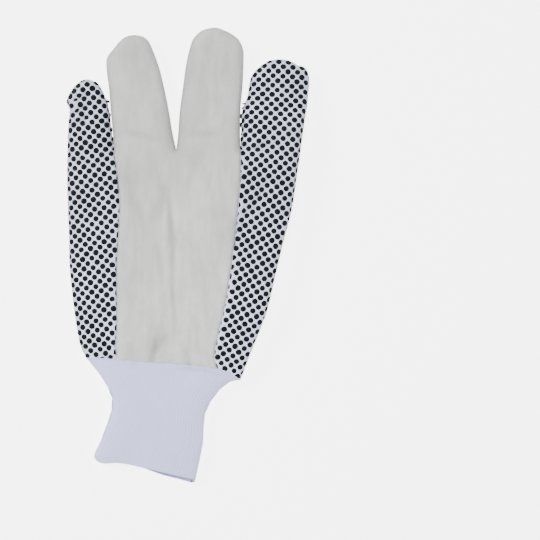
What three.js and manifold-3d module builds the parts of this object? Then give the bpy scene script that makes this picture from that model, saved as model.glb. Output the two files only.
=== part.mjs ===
// A knit-wrist cotton work glove for the left hand, with a dotted palm. It lies on its palm,
// with the thumb folded flat under it. Millimetres: +Y runs to the fingertips, +X to the thumb
// side and +Z up from the surface that it lies on.
import * as THREE from 'three';
import { mergeVertices } from 'three/addons/utils/BufferGeometryUtils.js';
import Module from 'manifold-3d';

// Cloth and seams
const canvasWall = 1.6;
const knitWall = 2;
const seamGap = 0.3;
const fingerGap = 0.6;

// Hand, from the wrist seam to the crotches of the fingers
const handLength = 125.4;
const palmDepth = 11.5;
const wristWidth = 88.5;
const wristOffset = -11.6;
const wristSlope = 8.1;

// Fingers, from the crotches to the tips, with their leans towards the thumb side in degrees
const littleWidth = 26.7;
const littleLength = 40.3;
const littleLean = -2.5;
const ringWidth = 35.8;
const ringLength = 65.6;
const ringLean = -7.3;
const middleWidth = 37;
const middleLength = 69.9;
const middleLean = 3.5;
const indexWidth = 33.8;
const indexLength = 51.8;
const indexLean = 8.2;
const fingerDepth = 11;
const fingerRoot = 17;
const rootShare = 0.62;

// White strips beside the dotted palm side of the ring and middle fingers
const sideStrip = 3.6;
const crotchPoint = 15;

// Thumb, folded under the palm
const thumbReach = 128.3;
const thumbWidth = 50;
const thumbDepth = 8.6;
const thumbOffset = 26.8;
const thumbLean = 10.5;
const mouthStart = 9;
const mouthLength = 46;

// How the palm and fingers settle over the thumb
const drapeSpill = 10;
const drapeRamp = 17;
const drapeEnd = 2;
const drapeFall = 40;

// Knitted cuff
const cuffLength = 56.6;
const cuffWidth = 54;
const cuffDepth = 11;
const cuffLean = 11.1;
const cuffSlope = 13.1;

// Proportions of the oval sections
const ovalPower = 2.5;
const axisHeight = 0.46;
const wallLimit = 0.6;

// Longest step between sections, how far hollows run past the wrist seam and the thumb's mouth past
// its end, all as shares of the length, and stations across a cut
const handStep = 0.16;
const pastWrist = -0.05;
const mouthLip = 0.004;
const cutStations = 8;

// Heights below and above the whole glove, for the cuts between its panels
const below = -5;
const above = 60;

// Edges and depths of the hand. left and right are shares of the way from the wrist to the knuckles,
// strips are shares of the little and index fingers' widths, axis and rise shares of the palm's depth.
const handRows = [
  { along: 0, left: 0, right: 0, leftStrip: 0.68, rightStrip: 0.4, axis: 0.42, rise: 0.88 },
  { along: 0.06, left: 0.29, right: 0.08, leftStrip: 0.76, rightStrip: 0.52, axis: 0.44, rise: 0.92 },
  { along: 0.15, left: 0.49, right: 0.21, leftStrip: 0.87, rightStrip: 0.59, axis: 0.45, rise: 0.96 },
  { along: 0.3, left: 0.71, right: 0.43, leftStrip: 0.96, rightStrip: 0.69, axis: 0.46, rise: 1 },
  { along: 0.45, left: 0.86, right: 0.57, leftStrip: 1.02, rightStrip: 0.74, axis: 0.46, rise: 1 },
  { along: 0.6, left: 0.89, right: 0.71, leftStrip: 1.07, rightStrip: 0.81, axis: 0.46, rise: 1 },
  { along: 0.75, left: 0.96, right: 0.86, leftStrip: 1.12, rightStrip: 0.9, axis: 0.46, rise: 1 },
  { along: 0.88, left: 0.98, right: 0.94, leftStrip: 1.08, rightStrip: 0.94, axis: 0.46, rise: 1 },
  { along: 0.96, left: 1, right: 0.98, leftStrip: 1.02, rightStrip: 0.98, axis: 0.46, rise: 0.92 },
  { along: 1, left: 1, right: 1, leftStrip: 1, rightStrip: 1, axis: 0.46, rise: 0.6 },
];

// Edges of the fingers as shares of each width from its axis, along as shares of each length
const littleRows = [
  { along: 0, left: -0.5, right: 0.5, axis: 0.46, rise: 1 },
  { along: 0.29, left: -0.47, right: 0.475, axis: 0.46, rise: 1 },
  { along: 0.57, left: -0.43, right: 0.45, axis: 0.46, rise: 1 },
  { along: 0.66, left: -0.46, right: 0.43, axis: 0.46, rise: 1 },
  { along: 0.76, left: -0.425, right: 0.365, axis: 0.46, rise: 0.98 },
  { along: 0.86, left: -0.34, right: 0.3, axis: 0.46, rise: 0.9 },
  { along: 0.945, left: -0.22, right: 0.225, axis: 0.46, rise: 0.7 },
  { along: 1, left: -0.06, right: 0.03, axis: 0.46, rise: 0.3 },
];
const ringRows = [
  { along: 0, left: -0.5, right: 0.5, axis: 0.46, rise: 1 },
  { along: 0.13, left: -0.49, right: 0.485, axis: 0.46, rise: 1 },
  { along: 0.35, left: -0.475, right: 0.47, axis: 0.46, rise: 1 },
  { along: 0.53, left: -0.46, right: 0.445, axis: 0.46, rise: 1 },
  { along: 0.7, left: -0.46, right: 0.41, axis: 0.46, rise: 1 },
  { along: 0.81, left: -0.42, right: 0.37, axis: 0.46, rise: 0.98 },
  { along: 0.895, left: -0.27, right: 0.325, axis: 0.46, rise: 0.92 },
  { along: 0.947, left: -0.19, right: 0.29, axis: 0.46, rise: 0.8 },
  { along: 0.98, left: -0.11, right: 0.235, axis: 0.46, rise: 0.58 },
  { along: 1, left: 0, right: 0.125, axis: 0.46, rise: 0.3 },
];
const middleRows = [
  { along: 0, left: -0.5, right: 0.5, axis: 0.46, rise: 1 },
  { along: 0.12, left: -0.495, right: 0.485, axis: 0.46, rise: 1 },
  { along: 0.33, left: -0.49, right: 0.465, axis: 0.46, rise: 1 },
  { along: 0.51, left: -0.465, right: 0.475, axis: 0.46, rise: 1 },
  { along: 0.69, left: -0.44, right: 0.47, axis: 0.46, rise: 1 },
  { along: 0.82, left: -0.4, right: 0.45, axis: 0.46, rise: 0.98 },
  { along: 0.905, left: -0.355, right: 0.365, axis: 0.46, rise: 0.92 },
  { along: 0.955, left: -0.28, right: 0.235, axis: 0.46, rise: 0.8 },
  { along: 0.984, left: -0.195, right: 0.115, axis: 0.46, rise: 0.58 },
  { along: 1, left: -0.07, right: 0.02, axis: 0.46, rise: 0.3 },
];
const indexRows = [
  { along: 0, left: -0.5, right: 0.5, axis: 0.46, rise: 1 },
  { along: 0.17, left: -0.53, right: 0.515, axis: 0.46, rise: 1 },
  { along: 0.36, left: -0.57, right: 0.515, axis: 0.46, rise: 1 },
  { along: 0.47, left: -0.565, right: 0.52, axis: 0.46, rise: 1 },
  { along: 0.59, left: -0.52, right: 0.51, axis: 0.46, rise: 1 },
  { along: 0.72, left: -0.52, right: 0.5, axis: 0.46, rise: 1 },
  { along: 0.81, left: -0.505, right: 0.48, axis: 0.46, rise: 0.97 },
  { along: 0.89, left: -0.43, right: 0.415, axis: 0.46, rise: 0.9 },
  { along: 0.945, left: -0.34, right: 0.23, axis: 0.46, rise: 0.76 },
  { along: 0.98, left: -0.25, right: 0.12, axis: 0.46, rise: 0.56 },
  { along: 1, left: -0.13, right: 0, axis: 0.46, rise: 0.3 },
];

// Edges and depths of the thumb, as shares of its width, reach and depth
const thumbRows = [
  { along: 0, left: -0.37, right: 0.32, axis: 0.12, rise: 0.2 },
  { along: 0.14, left: -0.42, right: 0.38, axis: 0.22, rise: 0.45 },
  { along: 0.27, left: -0.47, right: 0.43, axis: 0.35, rise: 0.75 },
  { along: 0.39, left: -0.53, right: 0.46, axis: 0.44, rise: 0.95 },
  { along: 0.52, left: -0.55, right: 0.47, axis: 0.46, rise: 1 },
  { along: 0.6, left: -0.49, right: 0.48, axis: 0.46, rise: 1 },
  { along: 0.74, left: -0.48, right: 0.45, axis: 0.46, rise: 1 },
  { along: 0.83, left: -0.45, right: 0.41, axis: 0.46, rise: 1 },
  { along: 0.9, left: -0.35, right: 0.35, axis: 0.46, rise: 0.96 },
  { along: 0.952, left: -0.235, right: 0.245, axis: 0.46, rise: 0.84 },
  { along: 0.982, left: -0.14, right: 0.135, axis: 0.46, rise: 0.6 },
  { along: 1, left: -0.03, right: 0.03, axis: 0.46, rise: 0.3 },
];
const thumbShoulder = 0.83;

// Edges and depth of the cuff from the wrist seam to its end. left and right are shares of its width,
// and flare is the share of the way out to the wrist seam's width.
const cuffRows = [
  { along: 0, left: 0.5, right: 0.5, flare: 1, axis: 0.46, rise: 0.95 },
  { along: 0.08, left: 0.52, right: 0.476, flare: 0.7, axis: 0.46, rise: 1 },
  { along: 0.18, left: 0.52, right: 0.468, flare: 0.4, axis: 0.46, rise: 1 },
  { along: 0.28, left: 0.505, right: 0.49, flare: 0.15, axis: 0.46, rise: 1 },
  { along: 0.38, left: 0.49, right: 0.513, flare: 0, axis: 0.46, rise: 1 },
  { along: 0.5, left: 0.468, right: 0.53, flare: 0, axis: 0.46, rise: 1 },
  { along: 0.65, left: 0.48, right: 0.556, flare: 0, axis: 0.46, rise: 1 },
  { along: 0.8, left: 0.494, right: 0.553, flare: 0, axis: 0.46, rise: 1 },
  { along: 1, left: 0.538, right: 0.538, flare: 0, axis: 0.46, rise: 1 },
];

// How far the white strip reaches in, as a share of its width, from the crotch point to the fingertip
const stripRows = [
  { along: -1, strip: 0 },
  { along: 0, strip: 1.35 },
  { along: 0.3, strip: 1 },
  { along: 0.93, strip: 0.8 },
];

// Long folds in the back: across and width are shares of the knuckles' width, the rest of the hand's
// length, but for the depth
const folds = [
  { across: -0.044, width: 0.14, from: 0.2, to: 1.1, depth: 0.9 },
  { across: -0.13, width: 0.12, from: -0.2, to: 0.3, depth: 0.8 },
  { across: -0.3, width: 0.12, from: -0.3, to: 0.2, depth: 0.7 },
  { across: 0.06, width: 0.12, from: -0.3, to: 0.22, depth: 0.7 },
];

const handWidth = littleWidth + ringWidth + middleWidth + indexWidth;
const wristTilt = slope(wristSlope);
const thumbX = wristOffset + thumbOffset;
const mouthEnd = (mouthStart + mouthLength) / thumbReach;
const evenly = Array.from({ length: cutStations + 1 }, (_, i) => i / cutStations);

const dottedCanvas = new THREE.MeshStandardMaterial({ color: 0x9aa0ab, roughness: 0.9, metalness: 0 });
const plainCanvas = new THREE.MeshStandardMaterial({ color: 0xd6d5d1, roughness: 0.95, metalness: 0 });
const paleKnit = new THREE.MeshStandardMaterial({ color: 0xcfd1e2, roughness: 0.92, metalness: 0 });

const wasm = await Module();
wasm.setup();

function slope(angle) {
  return Math.tan(THREE.MathUtils.degToRad(angle));
}

function mix(from, to, share) {
  return from + (to - from) * share;
}

function smooth(share) {
  return THREE.MathUtils.smoothstep(share, 0, 1);
}

// Value of a table's column between its rows
function at(rows, along, column) {
  const after = rows.findIndex((row) => row.along >= along);
  if (after === 0) return rows[0][column];
  if (after < 0) return rows[rows.length - 1][column];
  const before = rows[after - 1];
  const share = (along - before.along) / (rows[after].along - before.along);
  return mix(before[column], rows[after][column], share);
}

// Places of a table's rows, with each step longer than the longest cut into equal parts
function places(rows, longest) {
  const found = [rows[0].along];
  for (let i = 1; i < rows.length; i += 1) {
    const parts = Math.ceil((rows[i].along - rows[i - 1].along) / longest);
    for (let part = 1; part <= parts; part += 1) {
      found.push(mix(rows[i - 1].along, rows[i].along, part / parts));
    }
  }
  return found;
}

// Shares from -1 to 1 across a form, closer together towards its rounded sides
function stations(count) {
  return Array.from({ length: count + 1 }, (_, i) => Math.sin(Math.PI * (i / count - 0.5)));
}

function oval(across) {
  return (1 - Math.abs(across) ** ovalPower) ** (1 / ovalPower);
}

// Height of the wrist seam's line, and how far up the hand or thumb a point lies
function wristLine(x) {
  return -wristTilt * (x - wristOffset);
}

function share(x, y, reach) {
  return (y - wristLine(x)) / (reach - wristLine(x));
}

// Lift of the palm and fingers by the thumb that lies under them
function drape(x, y) {
  const along = share(x, y, thumbReach);
  const leftEdge = thumb.middle(y) + at(thumbRows, Math.min(along, thumbShoulder), 'left') * thumbWidth;
  const lift = thumbDepth * at(thumbRows, Math.min(along, thumbShoulder), 'rise') + seamGap;
  const cover = smooth((x - leftEdge + drapeSpill) / drapeRamp);
  const settle = 1 - smooth(((along - 1) * thumbReach + drapeEnd) / drapeFall);
  return lift * cover * settle;
}

// Depth of the long folds in the back of the hand
function fold(x, y) {
  const along = share(x, y, handLength);
  return folds.reduce((depth, row) => {
    const across = 1 - Math.min(1, Math.abs(x / handWidth - row.across) / (row.width / 2));
    const ends = Math.min(along - row.from, row.to - along) / ((row.to - row.from) / 2);
    return depth + row.depth * smooth(across) * smooth(ends * 2);
  }, 0);
}

const hand = {
  rows: handRows,
  length: handLength,
  depth: palmDepth,
  stations: stations(16),
  edge(along, side) {
    const way = side === 'left' ? -1 : 1;
    return mix(wristOffset + (way * wristWidth) / 2, (way * handWidth) / 2, at(handRows, along, side));
  },
  y(along, x) {
    return mix(wristLine(x), handLength, along);
  },
  lift: drape,
  fold,
};

function finger(start, width, length, lean, rows) {
  return {
    rows,
    length,
    depth: fingerDepth,
    root: rootShare,
    stations: stations(12),
    edge(along, side) {
      return start + width / 2 + slope(lean) * length * along + at(rows, along, side) * width;
    },
    y(along) {
      return handLength + along * length;
    },
    lift: drape,
    fold: () => 0,
  };
}

const littleStart = -handWidth / 2;
const ringStart = littleStart + littleWidth;
const middleStart = ringStart + ringWidth;
const indexStart = middleStart + middleWidth;
const little = finger(littleStart, littleWidth, littleLength, littleLean, littleRows);
const ring = finger(ringStart, ringWidth, ringLength, ringLean, ringRows);
const middle = finger(middleStart, middleWidth, middleLength, middleLean, middleRows);
const index = finger(indexStart, indexWidth, indexLength, indexLean, indexRows);

const thumb = {
  rows: thumbRows,
  length: thumbReach,
  depth: thumbDepth,
  stations: stations(14),
  middle(y) {
    return thumbX + slope(thumbLean) * y;
  },
  edge(along, side) {
    return this.middle(along * thumbReach) + at(thumbRows, along, side) * thumbWidth;
  },
  y(along, x) {
    return mix(wristLine(x), thumbReach, along);
  },
  lift: () => 0,
  fold: () => 0,
};

const cuff = {
  rows: cuffRows,
  length: cuffLength,
  depth: cuffDepth,
  stations: stations(14),
  edge(along, side) {
    const way = side === 'left' ? -1 : 1;
    const flare = (at(cuffRows, along, 'flare') * (wristWidth - cuffWidth)) / 2;
    return this.middle(along) + way * (at(cuffRows, along, side) * cuffWidth + flare);
  },
  middle(along) {
    return wristOffset - slope(cuffLean) * cuffLength * along;
  },
  y(along, x) {
    const tilt = mix(wristTilt, slope(cuffSlope), along);
    return -seamGap - cuffLength * along - tilt * (x - this.middle(along));
  },
  lift: () => 0,
  fold: () => 0,
};

// Rows of posts through a soft form, each from its underside to its top. Inside a wall the posts are
// shorter, the sides closer together and a closed end further back. A finger's root is a smaller oval
// inside the palm.
function softRows(form, alongs, wall, sideGap = 0) {
  return alongs.map((along) => {
    const left = form.edge(along, 'left') + sideGap;
    const right = form.edge(along, 'right') - sideGap;
    const root = along < 0 && form.root ? form.root : 1;
    const half = (root * (right - left)) / 2;
    const swell = (root * at(form.rows, along, 'rise') * form.depth) / 2;
    const axis = at(form.rows, along, 'axis') * form.depth;
    const width = half - Math.min(wall, half * wallLimit);
    const height = swell - Math.min(wall, swell * wallLimit);
    const reach = along > 0 ? along * (1 - wall / form.length) : along;
    return form.stations.map((across) => {
      const x = (left + right) / 2 + across * width;
      const y = form.y(reach, x);
      const lift = form.lift(x, y);
      const rise = height * oval(across);
      const top = axis + rise - form.fold(x, y) * oval(across);
      return { x, y, low: Math.max(axis - rise, wall) + lift, high: top + lift };
    });
  });
}

// A closed solid through rows of posts
function solid(rows) {
  const count = rows[0].length;
  const positions = [];
  rows.flat().forEach((post) => positions.push(post.x, post.y, post.low, post.x, post.y, post.high));
  const low = (row, post) => 2 * (row * count + post);
  const high = (row, post) => low(row, post) + 1;
  const faces = [];
  const face = (a, b, c, d) => faces.push(a, b, c, a, c, d);
  const lastRow = rows.length - 1;
  const lastPost = count - 1;
  for (let row = 0; row < lastRow; row += 1) {
    for (let post = 0; post < lastPost; post += 1) {
      face(high(row, post), high(row, post + 1), high(row + 1, post + 1), high(row + 1, post));
      face(low(row, post), low(row + 1, post), low(row + 1, post + 1), low(row, post + 1));
    }
    face(low(row, 0), high(row, 0), high(row + 1, 0), low(row + 1, 0));
    face(low(row, lastPost), low(row + 1, lastPost), high(row + 1, lastPost), high(row, lastPost));
  }
  for (let post = 0; post < lastPost; post += 1) {
    face(low(0, post), low(0, post + 1), high(0, post + 1), high(0, post));
    face(low(lastRow, post), high(lastRow, post), high(lastRow, post + 1), low(lastRow, post + 1));
  }
  const geometry = new THREE.BufferGeometry();
  geometry.setAttribute('position', new THREE.Float32BufferAttribute(positions, 3));
  geometry.setIndex(faces);
  const merged = mergeVertices(geometry, 1e-4);
  const triangles = [];
  for (let i = 0; i < merged.index.count; i += 3) {
    const [a, b, c] = [0, 1, 2].map((corner) => merged.index.getX(i + corner));
    if (a !== b && b !== c && c !== a) triangles.push(a, b, c);
  }
  const vertProperties = new Float32Array(merged.attributes.position.array);
  const triVerts = new Uint32Array(triangles);
  return new wasm.Manifold(new wasm.Mesh({ numProp: 3, vertProperties, triVerts }));
}

// The hand and fingers as one form, shrunk by a wall
function handForm(wall, start) {
  const alongs = [start, ...places(handRows, handStep).filter((along) => along > start)];
  return [little, ring, middle, index].reduce((form, one) => {
    const root = -fingerRoot / one.length;
    const rows = softRows(one, [root, ...one.rows.map((row) => row.along)], wall, fingerGap / 2);
    return form.add(solid(rows));
  }, solid(softRows(hand, alongs, wall)));
}

// What the white back covers: the middle of the back between its two seams, and the ring and middle
// fingers whole but for the dotted strip on their palm side
function backMiddle(spread) {
  const alongs = [pastWrist, ...places(handRows, handStep), 1 - pastWrist / 2];
  return solid(alongs.map((along) => {
    const left = hand.edge(along, 'left') + at(handRows, along, 'leftStrip') * littleWidth - spread;
    const right = hand.edge(along, 'right') - at(handRows, along, 'rightStrip') * indexWidth + spread;
    return evenly.map((across) => {
      const x = mix(left, right, across);
      const y = hand.y(along, x);
      return { x, y, low: axisHeight * palmDepth + drape(x, y), high: above };
    });
  }));
}

function fingerWhole(one, spread) {
  const alongs = [-crotchPoint / one.length, ...one.rows.map((row) => row.along)];
  return solid(alongs.map((along) => {
    const left = one.edge(along, 'left') - spread;
    const right = one.edge(along, 'right') + spread;
    const tip = along > 1 / 2 ? fingerGap : 0;
    return [
      { x: left, y: one.y(along), low: below, high: above },
      { x: right, y: one.y(along) + tip, low: below, high: above },
    ];
  }));
}

function fingerStrip(one, spread) {
  const start = -crotchPoint / one.length;
  const alongs = [start * 1.3, start, start / 2, 0, 0.15, 0.3, 0.45, 0.6, 0.75, 0.93];
  return solid(alongs.map((along) => {
    const strip = at(stripRows, along < 0 ? -along / start : along, 'strip') * sideStrip;
    const left = one.edge(along, 'left') + strip - spread;
    const right = one.edge(along, 'right') - strip + spread;
    return evenly.map((across) => {
      const x = mix(left, right, across);
      const y = one.y(along) + spread;
      return { x, y, low: below - 1, high: axisHeight * fingerDepth + drape(x, y) };
    });
  }));
}

function backCover(spread) {
  return [ring, middle].reduce(
    (cover, one) => cover.add(fingerWhole(one, spread).subtract(fingerStrip(one, -spread))),
    backMiddle(spread),
  );
}

// The thumb: a pouch that is closed above its mouth, and below it an open tray under the palm
function thumbForm(wall, start) {
  const inner = [...places(thumbRows, handStep), mouthEnd, mouthEnd + mouthLip];
  const alongs = [start, ...inner.filter((along) => along > start).sort((a, b) => a - b)];
  const rows = softRows(thumb, alongs, wall);
  alongs.forEach((along, i) => {
    if (along > mouthEnd) return;
    rows[i].forEach((post) => {
      post.high = drape(post.x, post.y) + palmDepth / 2 + wall;
    });
  });
  return solid(rows);
}

function thumbMouth() {
  const start = mouthStart / thumbReach;
  const between = places(thumbRows, handStep / 2).filter((along) => along > start && along < mouthEnd);
  return solid([start, ...between, mouthEnd].map((along) => {
    const left = thumb.edge(along, 'left') + canvasWall + seamGap;
    const right = thumb.edge(along, 'right') - canvasWall - seamGap;
    return evenly.map((across) => {
      const x = mix(left, right, across);
      const y = thumb.y(along, x);
      return { x, y, low: below, high: axisHeight * palmDepth + drape(x, y) };
    });
  }));
}

const handOutside = handForm(0, 0);
const handShell = handOutside.subtract(handForm(canvasWall, pastWrist));
const palmPanel = handShell.subtract(backCover(seamGap / 2)).subtract(thumbMouth());
const backPanel = handShell.intersect(backCover(-seamGap / 2));
const thumbPiece = thumbForm(0, 0)
  .subtract(thumbForm(canvasWall, pastWrist))
  .subtract(handForm(0, pastWrist).translate([0, 0, -seamGap]));

function tube(form, wall) {
  const alongs = [...places(form.rows, handStep)].reverse();
  const inside = [1 - pastWrist, ...alongs, pastWrist];
  return solid(softRows(form, alongs, 0)).subtract(solid(softRows(form, inside, wall)));
}

const knitCuff = tube(cuff, knitWall);

function piece(name, shape, material) {
  const { vertProperties, triVerts } = shape.getMesh();
  const geometry = new THREE.BufferGeometry();
  geometry.setAttribute('position', new THREE.Float32BufferAttribute(vertProperties, 3));
  geometry.setIndex([...triVerts]);
  geometry.computeVertexNormals();
  const mesh = new THREE.Mesh(geometry, material);
  mesh.name = name;
  return mesh;
}

// The glove, centred over its origin
const pieces = new THREE.Group();
pieces.add(piece('palm_panel', palmPanel, dottedCanvas));
pieces.add(piece('back_panel', backPanel, plainCanvas));
pieces.add(piece('thumb', thumbPiece, dottedCanvas.clone()));
pieces.add(piece('knit_cuff', knitCuff, paleKnit));

const box = new THREE.Box3().setFromObject(pieces);
const centre = box.getCenter(new THREE.Vector3());
pieces.position.set(-centre.x, -centre.y, -box.min.z);

const glove = new THREE.Group();
glove.add(pieces);

export default glove;
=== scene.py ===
"""Finish of a dotted cotton work glove: cloth panels, raised dots and a knitted wrist."""
import math

import bmesh
import bpy
import numpy as np
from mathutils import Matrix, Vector, noise
from mathutils.geometry import delaunay_2d_cdt


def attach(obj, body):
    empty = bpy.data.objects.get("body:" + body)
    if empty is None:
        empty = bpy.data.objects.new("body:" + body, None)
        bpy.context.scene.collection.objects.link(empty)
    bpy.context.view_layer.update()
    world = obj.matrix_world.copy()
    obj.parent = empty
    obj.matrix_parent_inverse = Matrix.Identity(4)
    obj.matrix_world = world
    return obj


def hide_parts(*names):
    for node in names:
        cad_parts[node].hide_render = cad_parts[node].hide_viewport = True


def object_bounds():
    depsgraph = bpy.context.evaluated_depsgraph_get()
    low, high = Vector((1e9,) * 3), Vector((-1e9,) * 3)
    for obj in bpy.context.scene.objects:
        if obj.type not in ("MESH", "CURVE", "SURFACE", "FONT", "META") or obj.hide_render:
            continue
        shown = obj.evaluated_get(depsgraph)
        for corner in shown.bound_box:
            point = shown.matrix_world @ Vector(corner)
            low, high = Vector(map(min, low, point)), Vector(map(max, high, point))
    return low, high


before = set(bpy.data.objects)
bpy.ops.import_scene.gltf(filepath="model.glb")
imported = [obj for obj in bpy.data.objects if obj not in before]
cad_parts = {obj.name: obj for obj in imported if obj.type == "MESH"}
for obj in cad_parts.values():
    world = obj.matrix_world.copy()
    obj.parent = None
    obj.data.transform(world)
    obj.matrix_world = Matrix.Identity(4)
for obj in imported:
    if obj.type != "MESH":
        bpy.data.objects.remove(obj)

bl_info = {
    "name": "Dotted work glove",
    "version": (1, 0, 0),
    "blender": (4, 5, 0),
    "location": "View3D > Sidebar > Glove",
    "description": "Makes the cloth, dots and knitted wrist of a cotton work glove",
    "category": "Object",
}

CAD_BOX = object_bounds()

# Layout sizes are in millimetres, and every finished mesh is in metres
MM = 0.001

# The glove's own proportions, as its solids have them
HAND_LENGTH = 125.4
WRIST_WIDTH = 88.5
WRIST_OFFSET = -11.6
WRIST_TILT = math.tan(math.radians(8.1))
LITTLE_WIDTH, LITTLE_LENGTH, LITTLE_LEAN = 26.7, 40.3, -2.5
RING_WIDTH, RING_LENGTH, RING_LEAN = 35.8, 65.6, -7.3
MIDDLE_WIDTH, MIDDLE_LENGTH, MIDDLE_LEAN = 37.0, 69.9, 3.5
INDEX_WIDTH, INDEX_LENGTH, INDEX_LEAN = 33.8, 51.8, 8.2
HAND_WIDTH = LITTLE_WIDTH + RING_WIDTH + MIDDLE_WIDTH + INDEX_WIDTH
FINGER_GAP = 0.6
PALM_DEPTH = 11.5
FINGER_DEPTH = 11.0
OVAL_POWER = 2.5
AXIS_HEIGHT = 0.46
SIDE_STRIP = 3.6
CROTCH_POINT = 15.0
THUMB_REACH, THUMB_WIDTH, THUMB_DEPTH = 128.3, 50.0, 8.6
THUMB_X = WRIST_OFFSET + 26.8
THUMB_TILT = math.tan(math.radians(10.5))
THUMB_SHOULDER = 0.83
MOUTH_START, MOUTH_END = 9.0, 55.0
DRAPE_SPILL, DRAPE_RAMP, DRAPE_FALL = 10.0, 17.0, 40.0
CUFF_LENGTH, CUFF_WIDTH, CUFF_DEPTH = 56.6, 54.0, 10.8
CUFF_LEAN = math.tan(math.radians(11.1))
CUFF_END_TILT = math.tan(math.radians(13.1))
SEAM_GAP = 0.3

# The cuff's sag at its lower left corner, how far its lower layer reaches past the upper one, how much
# its end is rounded, and the share of its length that is tucked under the canvas
CUFF_SAG = 3.0
CUFF_LIP = 1.9
CUFF_END_ROUND = 0.9
CUFF_TUCK = 0.04
CUFF_GRID = (110, 150)
# Relief of the cloth: gathers at the wrist, puckers and groove along the seams, folds and unevenness
GATHER_DEPTH, GATHER_PITCH, GATHER_REACH = 0.32, 1.15, 5.0
PUCKER_DEPTH, PUCKER_PITCH, PUCKER_REACH = 0.14, 0.75, 3.0
GROOVE_DEPTH, GROOVE_WIDTH = 0.55, 0.7
WELT_HEIGHT, WELT_PLACE, WELT_WIDTH = 0.16, 2.0, 1.1
WRIST_DIP, WRIST_DIP_REACH = 0.45, 0.8
FOLD_DEPTH = 1.35
FOLD_WANDER, FOLD_WANDER_PITCH = 0.9, 7.0
FAR_OFF = 99.0
ON_RIM = 0.004
# How far the relief fades out towards a rim, and how far the painted shade along a rolled rim reaches in
RIM_FADE = 5.0
RIM_SHADE = 0.9
# Radius over which each layer rolls down to the rim: at the fingers, palm, wrist and thumb
FINGER_ROLL, PALM_ROLL, WRIST_ROLL, THUMB_ROLL = 17.5, 32.0, 20.0, 18.0
# Dots: how far the lattice starts below the wrist, how far dots stay off the seams, rims and wrist when
# they are cut short, and how far they reach round the edge of the strips and of the thumb
LATTICE_START = -0.6
SEAM_MARGIN, RIM_MARGIN, WRIST_MARGIN = 0.15, 0.15, 0.2
STRIP_WRAP, THUMB_WRAP = 4.5, 4.0
DOT_SINK, STEEP_DOT_SINK = 0.04, 0.22
# Lattices of the dots: their half widths, how far they run past the hand and thumb, and their turns
STRIP_SPREAD, PALM_SPREAD, THUMB_SPREAD = 46.0, 120.0, 60.0
HAND_SPARE, THUMB_SPARE = 75.0, 10.0
PALM_TURN, THUMB_TURN = 8.0, -13.0
# Where dots are left out: near the tips, past a strip's seam, and near the hand's edge, the thumb and
# the plain cloth on the palm side
TIP_MARGIN, THUMB_TIP_MARGIN = 0.4, 0.8
SEAM_OVERRUN, SEAM_STRAY = 0.9, 1.2
EDGE_CLEARANCE, THUMB_CLEARANCE, PLAIN_CLEARANCE = 1.0, 0.9, 0.7
NEAREST_SHARE = 0.82
MOUTH_BLEND = 8
FLOOR_GLOW = 4.0

# Edges of the hand: along, left and right shares, and the dotted strips' shares of two fingers' widths
HAND_ROWS = (
    (0.00, 0.00, 0.00, 0.68, 0.40),
    (0.06, 0.29, 0.08, 0.76, 0.52),
    (0.15, 0.49, 0.21, 0.87, 0.59),
    (0.30, 0.71, 0.43, 0.96, 0.69),
    (0.45, 0.86, 0.57, 1.02, 0.74),
    (0.60, 0.89, 0.71, 1.07, 0.81),
    (0.75, 0.96, 0.86, 1.12, 0.90),
    (0.88, 0.98, 0.94, 1.08, 0.94),
    (1.00, 1.00, 1.00, 1.00, 1.00),
)
# Edges of the fingers and thumb: along, left and right shares of each width
LITTLE_ROWS = (
    (0.00, -0.500, 0.500), (0.29, -0.465, 0.475), (0.47, -0.430, 0.460), (0.57, -0.412, 0.445),
    (0.68, -0.470, 0.415), (0.77, -0.425, 0.360), (0.86, -0.340, 0.300), (0.945, -0.220, 0.225),
    (1.00, -0.050, 0.030),
)
RING_ROWS = (
    (0.00, -0.500, 0.500), (0.13, -0.490, 0.485), (0.35, -0.475, 0.470), (0.53, -0.460, 0.445),
    (0.70, -0.460, 0.410), (0.80, -0.430, 0.372), (0.885, -0.300, 0.330), (0.945, -0.195, 0.290),
    (0.98, -0.110, 0.235), (1.00, 0.000, 0.125),
)
MIDDLE_ROWS = (
    (0.00, -0.500, 0.500), (0.12, -0.495, 0.485), (0.33, -0.490, 0.465), (0.51, -0.465, 0.475),
    (0.69, -0.440, 0.470), (0.82, -0.400, 0.450), (0.905, -0.355, 0.365), (0.955, -0.280, 0.235),
    (0.984, -0.195, 0.115), (1.00, -0.070, 0.020),
)
INDEX_ROWS = (
    (0.00, -0.500, 0.500), (0.17, -0.530, 0.515), (0.36, -0.570, 0.515), (0.47, -0.565, 0.520),
    (0.59, -0.520, 0.510), (0.72, -0.520, 0.500), (0.81, -0.505, 0.480), (0.89, -0.430, 0.415),
    (0.945, -0.340, 0.230), (0.98, -0.250, 0.120), (1.00, -0.130, 0.000),
)
THUMB_ROWS = (
    (0.00, -0.370, 0.320), (0.14, -0.420, 0.380), (0.27, -0.470, 0.430), (0.39, -0.530, 0.460),
    (0.52, -0.550, 0.470), (0.60, -0.490, 0.480), (0.74, -0.480, 0.450), (0.83, -0.450, 0.410),
    (0.90, -0.350, 0.350), (0.952, -0.235, 0.245), (0.982, -0.140, 0.135), (1.00, -0.030, 0.030),
)
# Depth of the thumb from the wrist to its shoulder: along, share
THUMB_RISE = ((0.0, 0.2), (0.14, 0.45), (0.27, 0.75), (0.39, 0.95), (0.52, 1.0))
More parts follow.
